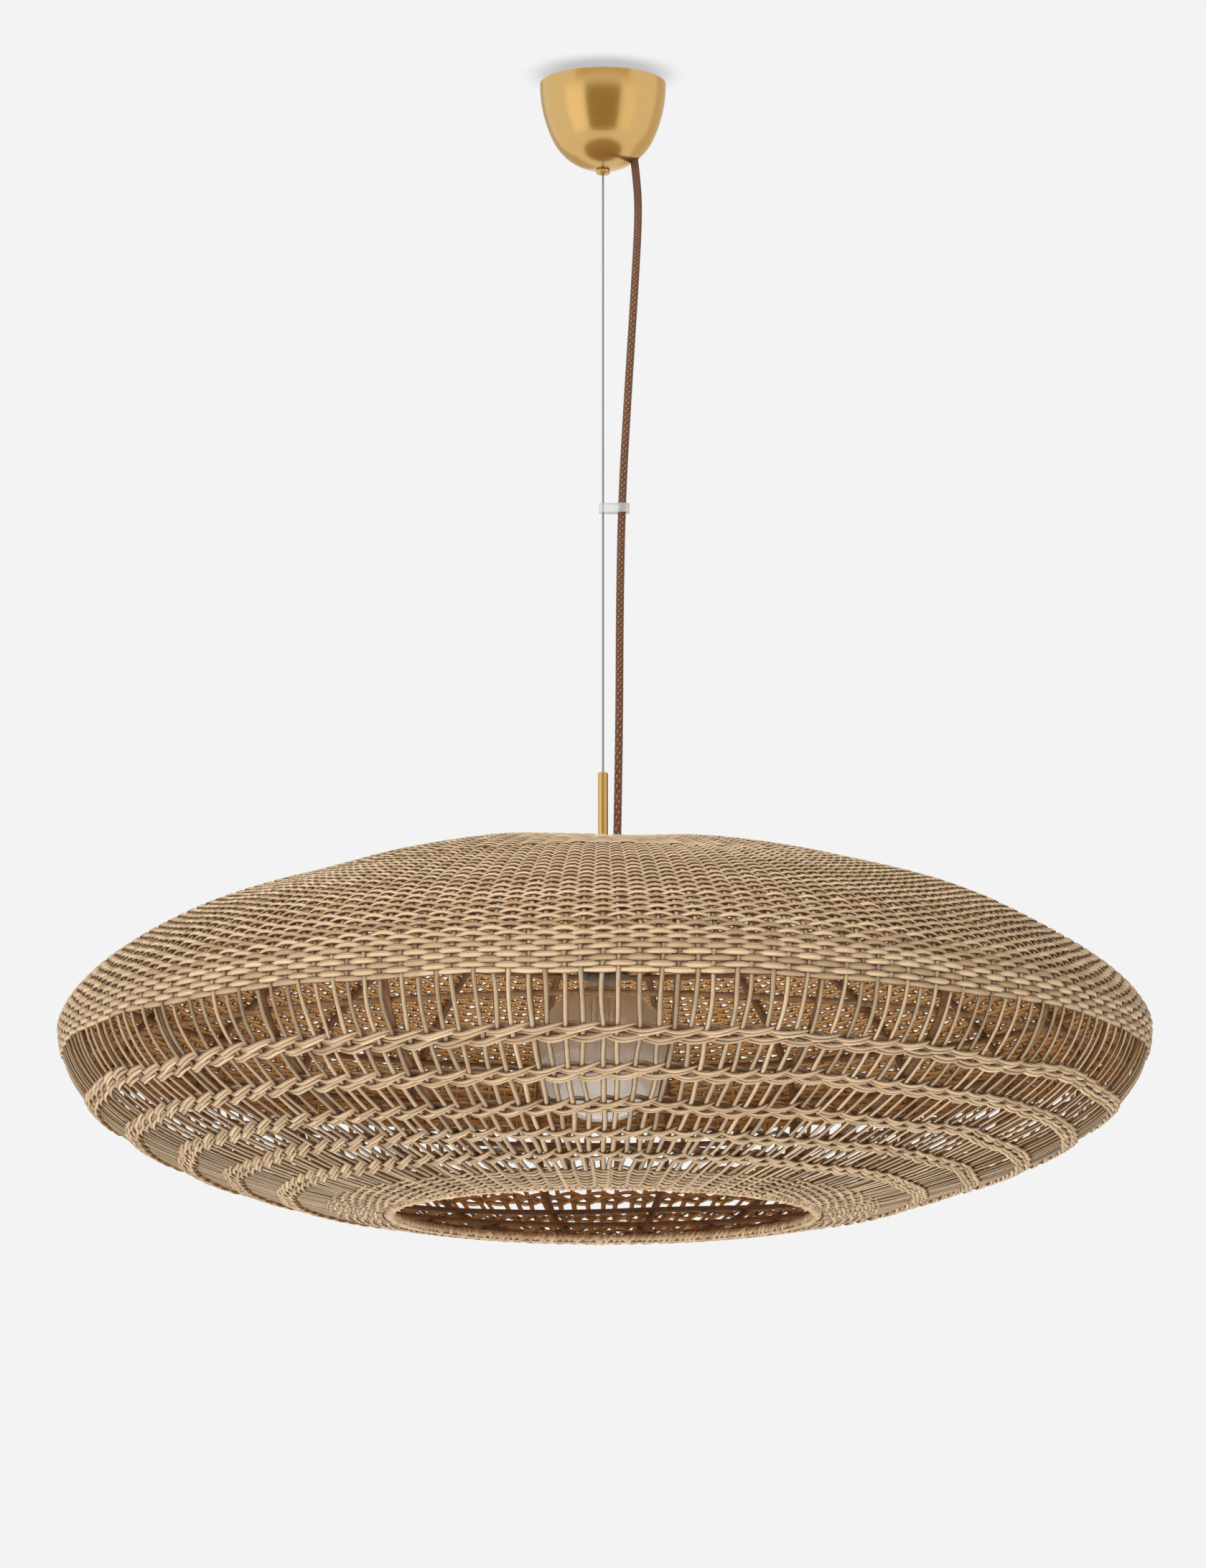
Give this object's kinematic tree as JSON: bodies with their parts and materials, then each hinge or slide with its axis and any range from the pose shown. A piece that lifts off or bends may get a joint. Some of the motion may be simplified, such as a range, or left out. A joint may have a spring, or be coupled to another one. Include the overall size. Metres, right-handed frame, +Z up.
{
  "type": "pendant lamp",
  "caption": "Rise and fall pendant: a wide woven cane shade with an open lower half and a globe bulb, hung on a wire from a domed brass ceiling cup with a spring hoist.",
  "frame": {"origin": "centre of the ceiling plate's upper face, in the plane of the ceiling", "axes": "+Z up, along the suspension wire; +X towards the side where the flex leaves the cup; +Y away from the picture's viewer"},
  "size_m": [1, 1, 1.0694],
  "materials": {
    "brass": "satin",
    "steel": "zinc plated",
    "wire_rope": "stranded",
    "drum_plastic": "moulded",
    "flex_braid": "braided sleeve",
    "terminal_plastic": "moulded",
    "clear_clip": "clear",
    "holder_dark": "moulded",
    "holder_ceramic": "unglazed",
    "bulb_glass": "clear",
    "bulb_metal": "plain",
    "filament": "coated",
    "rattan_weave": "natural cane",
    "cane_frame": "stained"
  },
  "bodies": {
    "ceiling_rose": {"ceiling_plate": "steel", "canopy_cup": "brass", "outlet_tube": "brass", "outlet_nut": "brass", "hoist_frame": "steel", "frame_rivets": "steel", "hoist_axle": "steel", "axle_clip": "steel", "inner_wire": "wire_rope", "flex_tail": "flex_braid", "terminal_block": "terminal_plastic", "cord_clamp": "terminal_plastic"},
    "hoist_drum": {"cable_drum": "drum_plastic", "drum_cover": "steel", "wound_wire": "wire_rope", "mainspring": "steel"},
    "wire_guide": {"swivel_bush": "brass"},
    "suspension": {"suspension_wire": "wire_rope", "power_cord": "flex_braid"},
    "clip": {"cord_clip": "clear_clip"},
    "shade": {"belly_hoop": "cane_frame", "border_band": "rattan_weave", "bulb_cap": "bulb_metal", "bulb_filaments": "filament", "bulb_glass": "bulb_glass", "bulb_mount": "bulb_glass", "centre_contact": "brass", "crown_hoop": "cane_frame", "crown_ring": "cane_frame", "equator_hoop": "cane_frame", "fitter_spider": "steel", "frame_ribs": "cane_frame", "holder_body": "holder_dark", "holder_cap": "brass", "holder_flex": "flex_braid", "holder_insert": "holder_ceramic", "holder_ring": "holder_dark", "lower_hoop": "cane_frame", "mouth_hoop": "cane_frame", "rim_hoop": "cane_frame", "rim_wrap": "rattan_weave", "screw_shell": "brass", "shoulder_hoop": "cane_frame", "stem_cap": "brass", "stem_nuts": "brass", "stem_tube": "brass", "twined_band_1": "rattan_weave", "twined_band_2": "rattan_weave", "twined_band_3": "rattan_weave", "twined_band_4": "rattan_weave", "twined_band_5": "rattan_weave", "weave_stakes": "rattan_weave", "wire_crimp": "steel", "woven_crown": "rattan_weave"}
  },
  "joints": [
    {"name": "swing_x", "type": "hinge", "parent": "ceiling_rose", "child": "wire_guide", "pos_m": [0, 0, -0.08311], "axis": [1, 0, 0], "range_deg": [-8, 8]},
    {"name": "swing_y", "type": "hinge", "parent": "wire_guide", "child": "suspension", "pos_m": [0, 0, -0.08311], "axis": [0, 1, 0], "range_deg": [-8, 8]},
    {"name": "rise", "type": "slide", "parent": "suspension", "child": "shade", "axis": [0, 0, 1], "range_m": [0, 0.4], "deforming": ["suspension_wire", "power_cord"]},
    {"name": "hoist_turn", "type": "hinge", "parent": "ceiling_rose", "child": "hoist_drum", "pos_m": [-0.022, 0, -0.032], "axis": [0, -1, 0], "range_deg": [0, 1042]},
    {"name": "clip_slide", "type": "slide", "parent": "suspension", "child": "clip", "axis": [0, 0, 1], "range_m": [0, 0.208]}
  ],
  "couplings": [
    {"joint": "hoist_turn", "follows": "rise", "rad_per_m": 45.455},
    {"joint": "clip_slide", "follows": "rise", "ratio": 0.5198}
  ]
}
